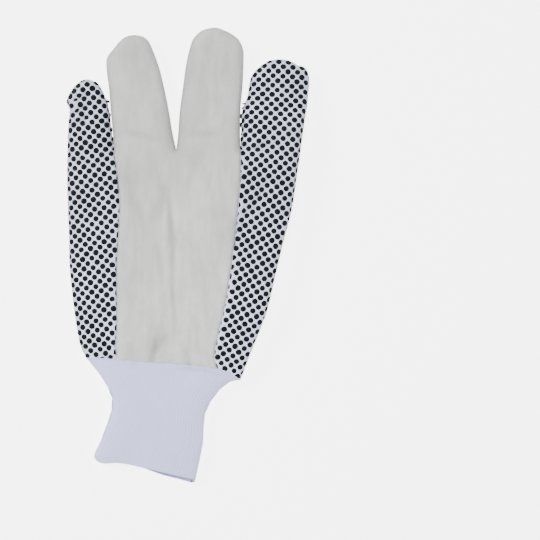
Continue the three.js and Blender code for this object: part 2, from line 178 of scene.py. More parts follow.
# Edges of the cuff: along, left and right shares of its width, flare out to the wrist seam
CUFF_ROWS = (
    (0.00, 0.500, 0.500, 1.00), (0.08, 0.512, 0.505, 0.70), (0.18, 0.500, 0.505, 0.40),
    (0.28, 0.484, 0.512, 0.15), (0.38, 0.464, 0.522, 0.00), (0.50, 0.446, 0.532, 0.00),
    (0.65, 0.464, 0.556, 0.00), (0.80, 0.490, 0.553, 0.00), (0.92, 0.535, 0.546, 0.00),
    (0.97, 0.535, 0.542, 0.00), (1.00, 0.495, 0.535, 0.00),
)
# How far the white strip reaches in on the palm side, from the crotch point to the fingertip
STRIP_ROWS = ((-1.0, 0.0), (0.0, 1.35), (0.3, 1.0), (0.93, 0.8))
# Turn of the dots' rows on the back, in degrees to the left: share up the glove, turn
LEFT_TURN = ((0.0, 8.0), (0.75, 8.0), (0.9, 6.0))
RIGHT_TURN = ((0.0, -13.5), (0.3, -11.5), (0.52, -10.0), (0.75, -4.0), (1.1, -2.0))
# Curve of the wrist seam: x, and how far it lies above the straight line between its ends
WRIST_RISE = (
    (-56.0, 0.0), (-48.0, 1.0), (-37.6, 1.7), (-25.0, 2.4), (-13.9, 3.2), (-1.0, 4.3), (11.4, 4.9),
    (20.6, 4.6), (26.4, 3.3), (32.7, 0.0),
)
# Creases: middle x and y, turn from upright in degrees, half length, half width, depth
CREASES = (
    (-6.2, 62.0, 1.5, 52.0, 1.5, 0.8),
    (-3.4, 60.0, 1.5, 44.0, 1.5, -0.45),
    (-9.2, 66.0, 2.5, 38.0, 1.8, -0.4),
    (-12.0, 96.0, -4.0, 13.0, 2.2, 0.45),
    (-17.0, 11.0, -14.0, 11.0, 1.9, 0.7),
    (-12.5, 15.0, -24.0, 9.0, 1.6, 0.5),
    (-30.0, 8.0, 8.0, 9.0, 2.2, 0.45),
    (2.0, 6.0, 6.0, 9.0, 2.4, 0.5),
    (-60.0, 148.0, -62.0, 7.0, 1.3, 0.9),
    (-59.0, 154.5, -70.0, 6.0, 1.2, 0.8),
    (-57.5, 142.0, -50.0, 6.0, 1.4, 0.6),
    (-24.0, 133.0, 80.0, 12.0, 2.2, 0.4),
    (12.0, 134.0, -84.0, 13.0, 2.4, 0.4),
    (45.0, 128.0, -70.0, 12.0, 2.6, 0.5),
    (-55.0, 118.0, 72.0, 9.0, 2.4, 0.4),
    (38.0, 92.0, -30.0, 20.0, 3.0, 0.5),
    (-30.0, 100.0, 12.0, 24.0, 3.2, 0.35),
)

SHIFT_X = CAD_BOX[0][0] / MM + HAND_WIDTH / 2
SHIFT_Y = CAD_BOX[1][1] / MM - HAND_LENGTH - MIDDLE_LENGTH


def smooth(share):
    share = np.clip(share, 0.0, 1.0)
    return share * share * (3.0 - 2.0 * share)


def mix(start, end, share):
    return start + (end - start) * share


def at(rows, along, column=1):
    table = np.array(rows)
    return np.interp(along, table[:, 0], table[:, column])


def wrist_line(x):
    return -WRIST_TILT * (x - WRIST_OFFSET) + at(WRIST_RISE, x)


def up_hand(x, y, reach=HAND_LENGTH):
    return (y - wrist_line(x)) / (reach - wrist_line(x))


def curve_through(points, step=0.8):
    """A smooth line through points, as points a step apart."""
    points = np.array(points, float)
    first = 2 * points[0] - points[1]
    last = 2 * points[-1] - points[-2]
    padded = np.vstack([first, points, last])
    found = []
    for i in range(1, len(padded) - 2):
        p0, p1, p2, p3 = padded[i - 1:i + 3]
        gaps = [max(np.linalg.norm(b - a), 1e-6) ** 0.5 for a, b in ((p0, p1), (p1, p2), (p2, p3))]
        m1 = (p1 - p0) / gaps[0] - (p2 - p0) / (gaps[0] + gaps[1]) + (p2 - p1) / gaps[1]
        m2 = (p2 - p1) / gaps[1] - (p3 - p1) / (gaps[1] + gaps[2]) + (p3 - p2) / gaps[2]
        m1, m2 = m1 * gaps[1], m2 * gaps[1]
        count = max(2, int(np.linalg.norm(p2 - p1) / step))
        for t in np.arange(count) / count:
            found.append((2 * t**3 - 3 * t**2 + 1) * p1 + (t**3 - 2 * t**2 + t) * m1
                         + (3 * t**2 - 2 * t**3) * p2 + (t**3 - t**2) * m2)
    found.append(points[-1])
    return np.array(found)


def hand_point(along, side):
    way = -1 if side == 1 else 1
    x = mix(WRIST_OFFSET + way * WRIST_WIDTH / 2, way * HAND_WIDTH / 2, at(HAND_ROWS, along, side))
    return x, mix(wrist_line(x), HAND_LENGTH, along)


def seam_point(along, side):
    x = hand_point(along, side)[0]
    strip = at(HAND_ROWS, along, side + 2) * (LITTLE_WIDTH if side == 1 else INDEX_WIDTH)
    x += strip if side == 1 else -strip
    return x, mix(wrist_line(x), HAND_LENGTH, along)


class Finger:
    """Outline of one flat finger, from the crotch line to its tip."""

    def __init__(self, start, width, length, lean, rows):
        self.middle = start + width / 2
        self.width = width
        self.length = length
        self.tilt = math.tan(math.radians(lean))
        self.rows = rows

    def edge(self, along, side, inset=FINGER_GAP / 2):
        way = 1 if side == 1 else -1
        share = at(self.rows, along, side)
        return self.middle + self.tilt * self.length * along + share * self.width + way * inset

    def side(self, side):
        rows = [row for row in self.rows if row[0] > 0]
        return [(self.edge(row[0], side), HAND_LENGTH + row[0] * self.length) for row in rows]

    def outline(self):
        return self.side(1) + self.side(2)[::-1]


LITTLE_START = -HAND_WIDTH / 2
RING_START = LITTLE_START + LITTLE_WIDTH
INDEX_START = HAND_WIDTH / 2 - INDEX_WIDTH
MIDDLE_START = INDEX_START - MIDDLE_WIDTH
LITTLE = Finger(LITTLE_START, LITTLE_WIDTH, LITTLE_LENGTH, LITTLE_LEAN, LITTLE_ROWS)
RING = Finger(RING_START, RING_WIDTH, RING_LENGTH, RING_LEAN, RING_ROWS)
MIDDLE = Finger(MIDDLE_START, MIDDLE_WIDTH, MIDDLE_LENGTH, MIDDLE_LEAN, MIDDLE_ROWS)
INDEX = Finger(INDEX_START, INDEX_WIDTH, INDEX_LENGTH, INDEX_LEAN, INDEX_ROWS)
CROTCHES = [(x, HAND_LENGTH) for x in (RING_START, RING_START + RING_WIDTH, INDEX_START)]


def cuff_middle(along):
    return WRIST_OFFSET - CUFF_LEAN * CUFF_LENGTH * along


def cuff_point(along, across):
    """A point of the cuff's plan, from its left edge at -1 to its right edge at 1."""
    flare = at(CUFF_ROWS, along, 3) * (WRIST_WIDTH - CUFF_WIDTH) / 2
    left = -(at(CUFF_ROWS, along, 1) * CUFF_WIDTH + flare)
    right = at(CUFF_ROWS, along, 2) * CUFF_WIDTH + flare
    x = cuff_middle(along) + mix(left, right, (across + 1) / 2)
    tilt = mix(WRIST_TILT, CUFF_END_TILT, along)
    rise = at(WRIST_RISE, x) * (1 - float(smooth(along / 0.5)))
    sag = CUFF_SAG * float(smooth((along - 0.7) / 0.3)) * math.exp(-((across + 0.92) / 0.28)**2)
    return x, rise - sag - CUFF_LENGTH * along - tilt * (x - cuff_middle(along))


ALONG_HAND = [row[0] for row in HAND_ROWS[:-1]]
ALONG_CUFF = [row[0] for row in CUFF_ROWS[:0:-1]]
CUFF_LEFT = curve_through([cuff_point(a, -1) for a in ALONG_CUFF] + [hand_point(0, 1)])
CUFF_RIGHT = curve_through([hand_point(0, 2)] + [cuff_point(a, 1) for a in ALONG_CUFF[::-1]])
LITTLE_SIDE = curve_through([hand_point(a, 1) for a in ALONG_HAND] + LITTLE.outline() + [CROTCHES[0]])
RING_SIDE = curve_through([CROTCHES[0]] + RING.outline() + [CROTCHES[1]])
MIDDLE_SIDE = curve_through([CROTCHES[1]] + MIDDLE.outline() + [CROTCHES[2]])
INDEX_SIDE = curve_through([CROTCHES[2]] + INDEX.outline() + [hand_point(a, 2) for a in ALONG_HAND[::-1]])
HAND_EDGE = np.vstack([LITTLE_SIDE, RING_SIDE[1:], MIDDLE_SIDE[1:], INDEX_SIDE[1:]])
GLOVE_EDGE = np.vstack([CUFF_LEFT[:-1], HAND_EDGE, CUFF_RIGHT[1:]])
LEFT_SEAM = curve_through([seam_point(row[0], 1) for row in HAND_ROWS], 1.0)
RIGHT_SEAM = curve_through([seam_point(row[0], 2) for row in HAND_ROWS], 1.0)


def strip_line(finger, side, step=1.0):
    """Inner edge of a finger's white strip on the palm side, from the crotch point up."""
    way = 1 if side == 1 else -1
    start = -CROTCH_POINT / finger.length
    points = []
    for along in (start, start / 2, 0, 0.15, 0.3, 0.45, 0.6, 0.75, 0.86, 0.93):
        strip = at(STRIP_ROWS, -along / start if along < 0 else along) * SIDE_STRIP
        points.append((finger.edge(along, side, 0) + way * strip, HAND_LENGTH + along * finger.length))
    return curve_through(points, step)


def tongue(finger):
    left, right = strip_line(finger, 1), strip_line(finger, 2)
    middle = (left[-1] + right[-1]) / 2 + np.array((0, 1.6))
    top = curve_through([left[-1], middle, right[-1]], 1.0)
    return np.vstack([left, top[1:-1], right[::-1]])


TONGUES = [tongue(RING), tongue(MIDDLE)]


def thumb_point(along, side):
    x = THUMB_X + THUMB_TILT * along * THUMB_REACH + at(THUMB_ROWS, along, side) * THUMB_WIDTH
    return x, mix(wrist_line(x), THUMB_REACH, along)


THUMB_EDGE = curve_through([thumb_point(row[0], 1) for row in THUMB_ROWS]
                           + [thumb_point(row[0], 2) for row in THUMB_ROWS[::-1]])


def distance_to(line, x, y):
    """Distance from points to a line of straight pieces."""
    x, y = np.asarray(x, float).ravel(), np.asarray(y, float).ravel()
    starts, ends = line[:-1], line[1:]
    run = ends - starts
    length2 = np.maximum((run**2).sum(1), 1e-9)
    found = np.empty(len(x))
    for i in range(0, len(x), 4000):
        dx = x[i:i + 4000, None] - starts[None, :, 0]
        dy = y[i:i + 4000, None] - starts[None, :, 1]
        t = np.clip((dx * run[:, 0] + dy * run[:, 1]) / length2, 0, 1)
        gap2 = (dx - t * run[:, 0])**2 + (dy - t * run[:, 1])**2
        found[i:i + 4000] = np.sqrt(gap2.min(1))
    return found


def inside(loop, x, y):
    x, y = np.asarray(x, float), np.asarray(y, float)
    result = np.zeros(x.shape, bool)
    ax, ay = loop[-1]
    for bx, by in loop:
        if ay != by:
            crossed = ((ay > y) != (by > y)) & (x < (bx - ax) * (y - ay) / (by - ay) + ax)
            result ^= crossed
        ax, ay = bx, by
    return result


def drape(x, y):
    """Lift of the palm and fingers by the thumb under them."""
    along = up_hand(x, y, THUMB_REACH)
    capped = np.clip(along, 0, THUMB_SHOULDER)
    left = THUMB_X + THUMB_TILT * y + at(THUMB_ROWS, capped, 1) * THUMB_WIDTH
    lift = THUMB_DEPTH * at(THUMB_RISE, capped) + SEAM_GAP
    lift = lift * smooth((y + 4.0 - wrist_line(x)) / 5.0)
    cover = smooth((x - left + DRAPE_SPILL) / DRAPE_RAMP)
    settle = 1 - smooth(((along - 1) * THUMB_REACH + 2) / DRAPE_FALL)
    return lift * cover * settle


def oval(across):
    return np.maximum(1 - np.abs(across) ** OVAL_POWER, 0) ** (1 / OVAL_POWER)


def creased(x, y):
    """Depth of the folds at points of the plan."""
    depth = np.zeros_like(x)
    for cx, cy, turn, half_length, half_width, deep in CREASES:
        c, s = math.cos(math.radians(turn)), math.sin(math.radians(turn))
        across = (x - cx) * c + (y - cy) * s
        along = -(x - cx) * s + (y - cy) * c
        wander = FOLD_WANDER * np.sin(along / FOLD_WANDER_PITCH + cx)
        ends = smooth(1.6 * (1 - np.abs(along) / half_length))
        depth += deep * np.exp(-((across - wander) / half_width)**2) * ends
    return depth


def unevenness(x, y, size, seed):
    return np.array([noise.noise(Vector((a / size, b / size, seed))) for a, b in zip(x, y)])


class Skin:
    """Heights of the glove's two layers of cloth over its plan."""

    def __init__(self, floor):
        self.floor = floor

    def half_depth(self, x, y):
        distance = distance_to(GLOVE_EDGE, x, y)
        up = smooth((HAND_LENGTH - y) / 45.0)
        radius = mix(FINGER_ROLL, PALM_ROLL, up)
        radius = mix(radius, WRIST_ROLL, smooth((6.0 - (y - wrist_line(x))) / 22.0))
        depth = mix(FINGER_DEPTH, PALM_DEPTH, up)
        depth = mix(depth, CUFF_DEPTH - 0.8, smooth((18.0 - (y - wrist_line(x))) / 24.0))
        return depth / 2 * oval(1 - np.minimum(distance / radius, 1)), depth, distance

    def top(self, x, y, rough=True):
        half, depth, distance = self.half_depth(x, y)
        height = AXIS_HEIGHT * depth + half + drape(x, y)
        if rough:
            fade = smooth(distance / RIM_FADE)
            above_wrist = np.maximum(y - wrist_line(x), 0)
            ripple = np.sin(x / GATHER_PITCH + 1.4 * np.sin(x / 5.1))
            gathers = GATHER_DEPTH * ripple * np.exp(-above_wrist / GATHER_REACH)
            seam = np.minimum(distance_to(LEFT_SEAM, x, y), distance_to(RIGHT_SEAM, x, y))
            seam = np.where(y < HAND_LENGTH, seam, FAR_OFF)
            ripple = np.sin(y / PUCKER_PITCH + np.sin(y / 3.0))
            pucker = PUCKER_DEPTH * ripple * np.exp(-(seam / PUCKER_REACH)**2)
            welt = WELT_HEIGHT * np.exp(-((seam - WELT_PLACE) / WELT_WIDTH)**2)
            groove = GROOVE_DEPTH * np.exp(-(seam / GROOVE_WIDTH)**2) - welt
            wrist = WRIST_DIP * np.exp(-above_wrist / WRIST_DIP_REACH)
            height -= fade * (FOLD_DEPTH * creased(x, y) + groove + wrist)
            height += fade * (gathers + pucker)
            height += fade * (0.55 * unevenness(x, y, 17.0, 3.1) + 0.22 * unevenness(x, y, 6.5, 8.7))
        return height

    def plain_top(self, x, y):
        return self.top(x, y, False)

    def bottom(self, x, y):
        half, depth, _ = self.half_depth(x, y)
        low = AXIS_HEIGHT * depth - half
        return np.maximum(low, self.floor) + drape(x, y)

    def edge(self, x, y):
        _, depth, _ = self.half_depth(x, y)
        return AXIS_HEIGHT * depth + drape(x, y)


def place(x, y, z):
    return np.stack([(np.asarray(x) + SHIFT_X) * MM, (np.asarray(y) + SHIFT_Y) * MM, np.asarray(z) * MM], -1)


def plan_mesh(loop, lines, spacing):
    """A flat net of triangles inside a loop, with edges along the given lines."""
    points = [tuple(p) for p in loop]
    faces = [list(range(len(points)))]
    edges = []
    for line in lines:
        first = len(points)
        points += [tuple(p) for p in line]
        edges += [(first + i, first + i + 1) for i in range(len(line) - 1)]
    fixed = np.array(points)
    low, high = loop.min(0), loop.max(0)
    rows = np.arange(low[1], high[1], spacing * 0.866)
    grid = []
    for i, y in enumerate(rows):
        x = np.arange(low[0] + (i % 2) * spacing / 2, high[0], spacing)
        grid.append(np.stack([x, np.full(len(x), y)], 1))
    grid = np.vstack(grid)
    closed = np.vstack([loop, loop[:1]])
    grid = grid[inside(loop, grid[:, 0], grid[:, 1])]
    grid = grid[distance_to(closed, grid[:, 0], grid[:, 1]) > 1.35]
    for line in lines:
        grid = grid[distance_to(line, grid[:, 0], grid[:, 1]) > spacing * 0.45]
    tangent = np.roll(loop, -1, 0) - np.roll(loop, 1, 0)
    length = np.maximum(np.linalg.norm(tangent, axis=1), 1e-9)
    normal = np.stack([tangent[:, 1], -tangent[:, 0]], 1) / length[:, None]
    rings = []
    for inset in (0.12, 0.42, 0.9):
        ring = loop + normal * inset
        clear = distance_to(closed, ring[:, 0], ring[:, 1]) > inset * 0.85
        rings.append(ring[inside(loop, ring[:, 0], ring[:, 1]) & clear])
    rings = np.vstack(rings)
    for line in lines:
        rings = rings[distance_to(line, rings[:, 0], rings[:, 1]) > 0.2]
    points = [Vector(p) for p in np.vstack([fixed, grid, rings])]
    found = delaunay_2d_cdt(points, edges, faces, 1, 1e-4, False)
    plan = np.array([tuple(v) for v in found[0]])
    triangles = np.array([f for f in found[2] if len(f) == 3])
    a, b, c = (plan[triangles[:, i]] for i in range(3))
    area = (b[:, 0] - a[:, 0]) * (c[:, 1] - a[:, 1]) - (b[:, 1] - a[:, 1]) * (c[:, 0] - a[:, 0])
    triangles[area < 0] = triangles[area < 0][:, ::-1]
    triangles = triangles[np.abs(area) > 1e-7]
    middle = plan[triangles].mean(1)
    keep = inside(loop, middle[:, 0], middle[:, 1])
    return plan, triangles[keep], middle[keep]


def mesh_object(name, points, faces, weld=0.02 * MM):
    mesh = bpy.data.meshes.new(name)
    mesh.from_pydata([tuple(p) for p in points], [], [list(map(int, f)) for f in faces])
    work = bmesh.new()
    work.from_mesh(mesh)
    bmesh.ops.delete(work, geom=[v for v in work.verts if not v.link_faces], context="VERTS")
    if weld:
        bmesh.ops.remove_doubles(work, verts=work.verts, dist=weld)
    for face in work.faces:
        face.smooth = True
    work.to_mesh(mesh)
    work.free()
    item = bpy.data.objects.new(name, mesh)
    bpy.context.scene.collection.objects.link(item)
    return item


def lift_to(item, floor):
    """Raise what a wall pushed below the height at which the cloth lies."""
    points = np.empty(len(item.data.vertices) * 3)
    item.data.vertices.foreach_get("co", points)
    points = points.reshape(-1, 3)
    points[:, 2] = np.maximum(points[:, 2], floor * MM)
    item.data.vertices.foreach_set("co", points.ravel())
    item.data.update()


def give_wall(item, thickness):
    wall = item.modifiers.new("Wall", "SOLIDIFY")
    wall.thickness = thickness
    wall.offset = -1
    wall.use_rim = True
    depsgraph = bpy.context.evaluated_depsgraph_get()
    finished = bpy.data.meshes.new_from_object(item.evaluated_get(depsgraph))
    item.modifiers.clear()
    item.data = finished


def mark_shade(item, extra=0.0):
    """Store painted shade for the cloth's colour in its creases and along its rims, and a darkening up the
    fingers.
    """
    points = np.empty(len(item.data.vertices) * 3)
    item.data.vertices.foreach_get("co", points)
    x, y, _ = points.reshape(-1, 3).T / MM
    x, y = x - SHIFT_X, y - SHIFT_Y
    rim = np.exp(-distance_to(GLOVE_EDGE, x, y) / RIM_SHADE)
    share = 0.6 * creased(x, y) + rim + 0.3 * smooth((y - 10.0) / HAND_LENGTH) + extra
    marks = item.data.attributes.new("shade", "FLOAT", "POINT")
    marks.data.foreach_set("value", np.clip(share, 0, 1))


class Value:
    """A shader socket that reads as a number in an expression."""

    def __init__(self, tree, socket):
        self.tree = tree
        self.socket = socket

    def _join(self, operation, first, second):
        node = self.tree.nodes.new("ShaderNodeMath")
        node.operation = operation
        for slot, value in zip(node.inputs, (first, second)):
            if isinstance(value, Value):
                self.tree.links.new(value.socket, slot)
            else:
                slot.default_value = value
        return Value(self.tree, node.outputs[0])

    def __add__(self, other):
        return self._join("ADD", self, other)

    __radd__ = __add__

    def __mul__(self, other):
        return self._join("MULTIPLY", self, other)

    __rmul__ = __mul__


class Finish:
    """One procedural material with a principled shader."""

    def __init__(self, name, roughness, sheen=0.0, specular=0.3):
        self.material = bpy.data.materials.new(name)
        self.material.use_nodes = True
        self.tree = self.material.node_tree
        self.shader = self.tree.nodes["Principled BSDF"]
        self.shader.inputs["Roughness"].default_value = roughness
        self.shader.inputs["Sheen Weight"].default_value = sheen
        self.shader.inputs["Sheen Roughness"].default_value = 0.6
        self.shader.inputs["Specular IOR Level"].default_value = specular
        self.place = self.node("ShaderNodeTexCoord").outputs["Object"]

    def node(self, kind, settings=None, sockets=None):
        made = self.tree.nodes.new(kind)
        for key, value in (settings or {}).items():
            setattr(made, key, value)
        for key, value in (sockets or {}).items():
            if isinstance(value, Value):
                value = value.socket
            if isinstance(value, bpy.types.NodeSocket):
                self.tree.links.new(value, made.inputs[key])
            else:
                made.inputs[key].default_value = value
        return made

    def value(self, made, output=0):
        return Value(self.tree, made.outputs[output])

    def noise(self, scale, detail=3.0, stretch=(1, 1, 1), rough=0.55):
        moved = self.node("ShaderNodeMapping", None, {"Vector": self.place, "Scale": stretch})
        made = self.node("ShaderNodeTexNoise", None, {
            "Vector": moved.outputs[0], "Scale": scale, "Detail": detail, "Roughness": rough})
        return self.value(made)

    def wave(self, scale, direction, vector=None, distortion=0.0):
        made = self.node("ShaderNodeTexWave", {"bands_direction": direction}, {
            "Vector": vector or self.place, "Scale": scale, "Distortion": distortion, "Detail": 1.0,
            "Detail Scale": 3.0})
        return self.value(made, 1)

    def shadow(self):
        return self.value(self.node("ShaderNodeAttribute", {"attribute_name": "shade"}), 2)

    def blend(self, share, first, second):
        made = self.node("ShaderNodeMix", {"data_type": "RGBA"}, {0: share, 6: first, 7: second})
        return made.outputs[2]

    def colour(self, socket):
        self.tree.links.new(socket, self.shader.inputs["Base Color"])

    def bump(self, height, strength, distance):
        made = self.node("ShaderNodeBump", None, {
            "Height": height, "Strength": strength, "Distance": distance})
        self.tree.links.new(made.outputs[0], self.shader.inputs["Normal"])


def shade(colour, factor):
    return tuple(min(1.0, c * factor) for c in colour[:3]) + (1.0,)


def canvas_finish(name, colour, streak):
    """Plain-woven cotton with a brushed nap."""
    finish = Finish(name, 0.92, 0.25, 0.2)
    threads = finish.wave(560.0, "X", distortion=1.2) * 0.5 + finish.wave(560.0, "Y", distortion=1.2) * 0.5
    nap = finish.noise(900.0, 4.0, rough=0.7)
    slubs = finish.noise(260.0, 3.0, (1.0, streak, 1.0))
    cloudy = finish.noise(38.0, 3.0)
    tone = slubs * 0.4 + cloudy * 0.4 + nap * 0.2
    soft = finish.node("ShaderNodeMapRange", None, {"Value": tone, "From Min": 0.4, "From Max": 0.6})
    cloth = finish.blend(finish.value(soft), shade(colour, 0.84), shade(colour, 1.12))
    # Painted shade: the colour turns to a darker copy where the shade attribute marks creases and rims, and
    # a little up the fingers
    finish.colour(finish.blend(finish.shadow(), cloth, shade(colour, 0.42)))
    finish.bump(threads * 0.35 + nap * 0.8 + slubs * 0.6, 0.55, 0.00045)
    return finish.material


def dot_finish(name, colour):
    """Matt moulded dots with a slight grain."""
    finish = Finish(name, 0.7, 0.0, 0.06)
    grain = finish.noise(1400.0, 3.0)
    patches = finish.noise(160.0, 2.0)
    finish.colour(finish.blend(patches, shade(colour, 0.6), shade(colour, 1.7)))
    finish.bump(grain, 0.25, 0.0002)
    return finish.material


def knit_finish(name, colour):
    """Fine rib knit, its wales and courses read from the knit's own map."""
    finish = Finish(name, 0.9, 0.3, 0.2)
    knit = finish.node("ShaderNodeUVMap", {"uv_map": "knit"}).outputs[0]
    wales = finish.wave(0.9, "X", knit, 0.6)
    courses = finish.wave(1.6, "DIAGONAL", knit, 0.8)
    fluff = finish.noise(700.0, 4.0, rough=0.65)
    cloudy = finish.noise(45.0, 3.0)
    tone = wales * 0.28 + courses * 0.14 + fluff * 0.4 + cloudy * 0.35
    soft = finish.node("ShaderNodeMapRange", None, {"Value": tone, "From Min": 0.3, "From Max": 0.9})
    cloth = finish.blend(finish.value(soft), shade(colour, 0.86), shade(colour, 1.06))
    # Painted shade: the colour turns to a darker copy where the shade attribute marks the rims and the
    # cuff's open end
    finish.colour(finish.blend(finish.shadow(), cloth, shade(colour, 0.5)))
    finish.bump(wales * 0.5 + courses * 0.6 + fluff * 0.5, 0.5, 0.0004)
    return finish.material


def stage_finish(colour):
    finish = Finish("stage_paper", 0.9, 0.0, 0.1)
    finish.colour(finish.blend(finish.noise(20.0), shade(colour, 0.99), shade(colour, 1.0)))
    finish.shader.inputs["Emission Color"].default_value = shade(colour, 1.0)
    finish.shader.inputs["Emission Strength"].default_value = FLOOR_GLOW
    return finish.material


class GloveSizes(bpy.types.PropertyGroup):
    """Sizes of the cloth, dots and knit."""

    canvas_thickness: bpy.props.FloatProperty(
        name="Canvas thickness", description="Wall of the cotton panels", default=0.0012, unit="LENGTH")
    knit_thickness: bpy.props.FloatProperty(
        name="Knit thickness", description="Wall of the knitted cuff", default=0.0018, unit="LENGTH")
    net_spacing: bpy.props.FloatProperty(
        name="Net spacing", description="Size of the cloth's triangles", default=0.00135, unit="LENGTH")
    dot_pitch: bpy.props.FloatProperty(
        name="Dot pitch", description="Distance between neighbouring dots", default=0.00388, unit="LENGTH")
    dot_diameter: bpy.props.FloatProperty(
        name="Dot diameter", description="Width of a dot", default=0.0035, unit="LENGTH")
    dot_height: bpy.props.FloatProperty(
        name="Dot height", description="How far a dot stands off the cloth", default=0.0004, unit="LENGTH")
    rib_pitch: bpy.props.FloatProperty(
        name="Rib pitch", description="Distance between the cuff's ribs", default=0.0016, unit="LENGTH")
    rib_depth: bpy.props.FloatProperty(
        name="Rib depth", description="Depth between the cuff's ribs", default=0.0001, unit="LENGTH")


class GloveColours(bpy.types.PropertyGroup):
    """Colours of the cloth, dots and knit."""

    dotted_cloth: bpy.props.FloatVectorProperty(
        name="Dotted cloth", description="Cloth between the dots", subtype="COLOR",
        default=(0.69, 0.725, 0.88))
    plain_cloth: bpy.props.FloatVectorProperty(
        name="Plain cloth", description="Cloth of the back", subtype="COLOR", default=(0.53, 0.528, 0.52))
    dots: bpy.props.FloatVectorProperty(
        name="Dots", description="Raised dots", subtype="COLOR", default=(0.004, 0.005, 0.008))
    knit: bpy.props.FloatVectorProperty(
        name="Knit", description="Knitted cuff", subtype="COLOR", default=(0.6, 0.625, 1.0))
    stage: bpy.props.FloatVectorProperty(
        name="Stage", description="Floor", subtype="COLOR", default=(0.93, 0.93, 0.93))


def cloth_skin(sizes):
    return Skin(sizes.dot_height / MM)


def white_top(x, y):
    loop = np.vstack([LEFT_SEAM, RING_SIDE[1:], MIDDLE_SIDE[1:], RIGHT_SEAM[::-1][1:]])
    return inside(loop, x, y)


def white_bottom(x, y):
    start = HAND_LENGTH - CROTCH_POINT
    loop = np.vstack([[(CROTCHES[0][0], start)], RING_SIDE, MIDDLE_SIDE[1:], [(CROTCHES[2][0], start)]])
    found = inside(loop, x, y)
    for one in TONGUES:
        found &= ~inside(one, x, y)
    return found


def in_mouth(x, y):
    rows = [along for along in np.linspace(MOUTH_START, MOUTH_END, 12) / THUMB_REACH]
    left = [np.array(thumb_point(a, 1)) + (2.0, 0) for a in rows]
    right = [np.array(thumb_point(a, 2)) - (2.0, 0) for a in rows]
    return inside(np.array(left + right[::-1]), x, y)


class GLOVE_OT_panels(bpy.types.Operator):
    """Make the dotted palm panel and the plain back panel"""

    bl_idname = "glove.panels"
    bl_label = "Palm and back panels"

    def execute(self, context):
        sizes = context.scene.glove_sizes
        colours = context.scene.glove_colours
        skin = cloth_skin(sizes)
        spacing = sizes.net_spacing / MM
        wrist = np.stack([np.linspace(HAND_EDGE[-1][0], HAND_EDGE[0][0], 90)[1:-1]] * 2, 1)
        wrist[:, 1] = wrist_line(wrist[:, 0])
        loop = np.vstack([HAND_EDGE, wrist])
        top_plan, top_faces, top_middle = plan_mesh(loop, [LEFT_SEAM, RIGHT_SEAM], spacing)
        start = HAND_LENGTH - CROTCH_POINT
        ends = [np.array([(x, y), (x, start)]) for x, y in (CROTCHES[0], CROTCHES[2])]
        low_plan, low_faces, low_middle = plan_mesh(loop, TONGUES + ends, spacing)
        layers = []
        for plan, height in ((top_plan, skin.top), (low_plan, skin.bottom)):
            x, y = plan[:, 0], plan[:, 1]
            z = height(x, y)
            rim = distance_to(HAND_EDGE, x, y) < ON_RIM
            z[rim] = skin.edge(x[rim], y[rim])
            layers.append(place(x, y, z))
        points = np.vstack(layers)
        low_faces = low_faces[:, ::-1] + len(top_plan)
        top_white = white_top(top_middle[:, 0], top_middle[:, 1])
        low_white = white_bottom(low_middle[:, 0], low_middle[:, 1])
        hole = in_mouth(low_middle[:, 0], low_middle[:, 1])
        back = np.vstack([top_faces[top_white], low_faces[low_white]])
        palm = np.vstack([top_faces[~top_white], low_faces[~low_white & ~hole]])
        plain = canvas_finish("brushed_cotton", colours.plain_cloth, 0.25)
        dotted = canvas_finish("dotted_cotton", colours.dotted_cloth, 0.6)
        for name, faces, node, slot, finish in (("back_cloth", back, "back_panel", "plain_canvas", plain),
                                                ("palm_cloth", palm, "palm_panel", "dotted_canvas", dotted)):
            item = mesh_object(name, points, faces)
            give_wall(item, sizes.canvas_thickness)
            mark_shade(item)
            item.data.materials.append(finish)
            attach(item, "root")
            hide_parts(node)
        return {"FINISHED"}


class GLOVE_OT_thumb(bpy.types.Operator):
    """Make the thumb that is folded under the palm"""

    bl_idname = "glove.thumb"
    bl_label = "Thumb"

    def execute(self, context):
        sizes = context.scene.glove_sizes
        skin = cloth_skin(sizes)
        wrist = np.stack([np.linspace(THUMB_EDGE[-1][0], THUMB_EDGE[0][0], 40)[1:-1]] * 2, 1)
        wrist[:, 1] = wrist_line(wrist[:, 0])
        loop = np.vstack([THUMB_EDGE, wrist])
        plan, faces, middle = plan_mesh(loop, [], sizes.net_spacing / MM)
        x, y = plan[:, 0], plan[:, 1]
        low, high, edge = thumb_heights(skin, x, y)
        rim = distance_to(THUMB_EDGE, x, y) < ON_RIM
        low[rim] = edge[rim]
        high[rim] = edge[rim]
        points = np.vstack([place(x, y, high), place(x, y, low)])
        hole = in_mouth(middle[:, 0], middle[:, 1])
        hole |= up_hand(middle[:, 0], middle[:, 1]) * HAND_LENGTH < MOUTH_START
        faces = np.vstack([faces[~hole], faces[:, ::-1] + len(plan)])
        item = mesh_object("thumb_cloth", points, faces)
        give_wall(item, sizes.canvas_thickness)
        lift_to(item, skin.floor)
        mark_shade(item)
        item.data.materials.append(bpy.data.materials["dotted_cotton"])
        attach(item, "root")
        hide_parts("thumb")
        return {"FINISHED"}


def thumb_heights(skin, x, y):
    """Heights of the thumb's lower and upper layer and of its rim."""
    along = up_hand(x, y, THUMB_REACH)
    distance = distance_to(THUMB_EDGE, x, y)
    depth = THUMB_DEPTH * at(THUMB_RISE, np.clip(along, 0, 1))
    half = depth / 2 * oval(1 - np.minimum(distance / THUMB_ROLL, 1))
    ceiling = skin.bottom(x, y) - 0.25
    attached = 1 - smooth((along * THUMB_REACH - MOUTH_END + MOUTH_BLEND) / (2 * MOUTH_BLEND))
    axis = np.maximum(AXIS_HEIGHT * depth, skin.floor)
    edge = np.minimum(mix(axis, ceiling, attached), ceiling)
    high = np.minimum(edge + half, ceiling)
    low = np.maximum(edge - half - attached * (edge - skin.floor) * smooth(distance / 4.0), skin.floor)
    return low, np.maximum(high, low + 0.05), edge


